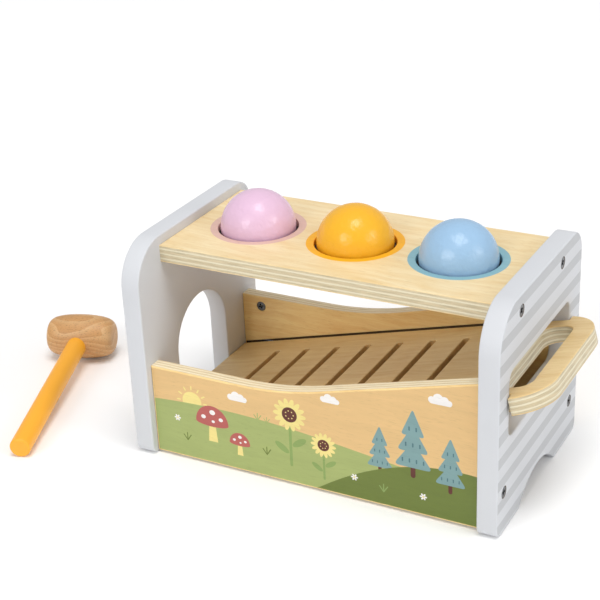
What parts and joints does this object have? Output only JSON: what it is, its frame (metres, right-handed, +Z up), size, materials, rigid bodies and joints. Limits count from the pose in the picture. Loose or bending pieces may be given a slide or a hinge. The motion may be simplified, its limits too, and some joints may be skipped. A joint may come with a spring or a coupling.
{
  "type": "peg pounding bench",
  "caption": "Wooden pounding bench: balls held in a top plate drop onto a sloping slatted ramp board that pulls out by its handle and roll out of an end arch, with a mallet.",
  "frame": {"origin": "on the floor, at the middle of the floor area that the bench and the mallet beside it take up together", "axes": "+Z up, +X along the bench from the ball exit arch to the handle, -Y towards the low printed front rail"},
  "size_m": [0.3819, 0.1694, 0.1507],
  "materials": {
    "panel_paint": "satin paint on fibreboard",
    "panel_striped": "satin paint with printed grey stripes",
    "plate_ply": "clear satin lacquer on birch plywood, painted rings",
    "printed_ply": "printed and lacquered plywood",
    "rail_ply": "clear satin lacquer on plywood",
    "runner_wood": "plain sanded wood",
    "board_ply": "clear satin lacquer on plywood",
    "ball_pink": "satin paint",
    "ball_orange": "satin paint",
    "ball_blue": "satin paint",
    "grip_rubber": "matte",
    "screw_steel": "zinc plated",
    "mallet_beech": "oiled beech",
    "mallet_paint": "satin paint"
  },
  "bodies": {
    "bench": {"left_panel": "panel_paint", "right_panel": "panel_striped", "top_plate": "plate_ply", "front_rail": "printed_ply", "back_rail": "rail_ply", "front_runner": "runner_wood", "back_runner": "runner_wood", "grip_ring_left": "grip_rubber", "grip_ring_middle": "grip_rubber", "grip_ring_right": "grip_rubber", "plate_screws_left": "screw_steel", "plate_screws_right": "screw_steel", "rail_screws_left": "screw_steel", "rail_screws_right": "screw_steel", "rail_bolts": "screw_steel", "barrel_nuts": "screw_steel"},
    "ramp": {"ramp_board": "board_ply"},
    "left_ball": {"ball_left": "ball_pink"},
    "middle_ball": {"ball_middle": "ball_orange"},
    "right_ball": {"ball_right": "ball_blue"},
    "mallet": {"mallet_head": "mallet_beech", "mallet_handle": "mallet_paint"}
  },
  "joints": [
    {"name": "ramp_pull", "type": "slide", "parent": "bench", "child": "ramp", "axis": [0.9659, 0, 0.2588], "range_m": [0, 0.21]},
    {"name": "left_ball_drop", "type": "slide", "parent": "bench", "child": "left_ball", "axis": [0, 0, -1], "range_m": [0, 0.07026], "deforming": ["grip_ring_left"]},
    {"name": "middle_ball_drop", "type": "slide", "parent": "bench", "child": "middle_ball", "axis": [0, 0, -1], "range_m": [0, 0.05317], "deforming": ["grip_ring_middle"]},
    {"name": "right_ball_drop", "type": "slide", "parent": "bench", "child": "right_ball", "axis": [0, 0, -1], "range_m": [0, 0.03609], "deforming": ["grip_ring_right"]},
    {"name": "mallet_lift", "type": "slide", "parent": "bench", "child": "mallet", "axis": [0, 0, 1], "range_m": [0, 0.15]}
  ]
}
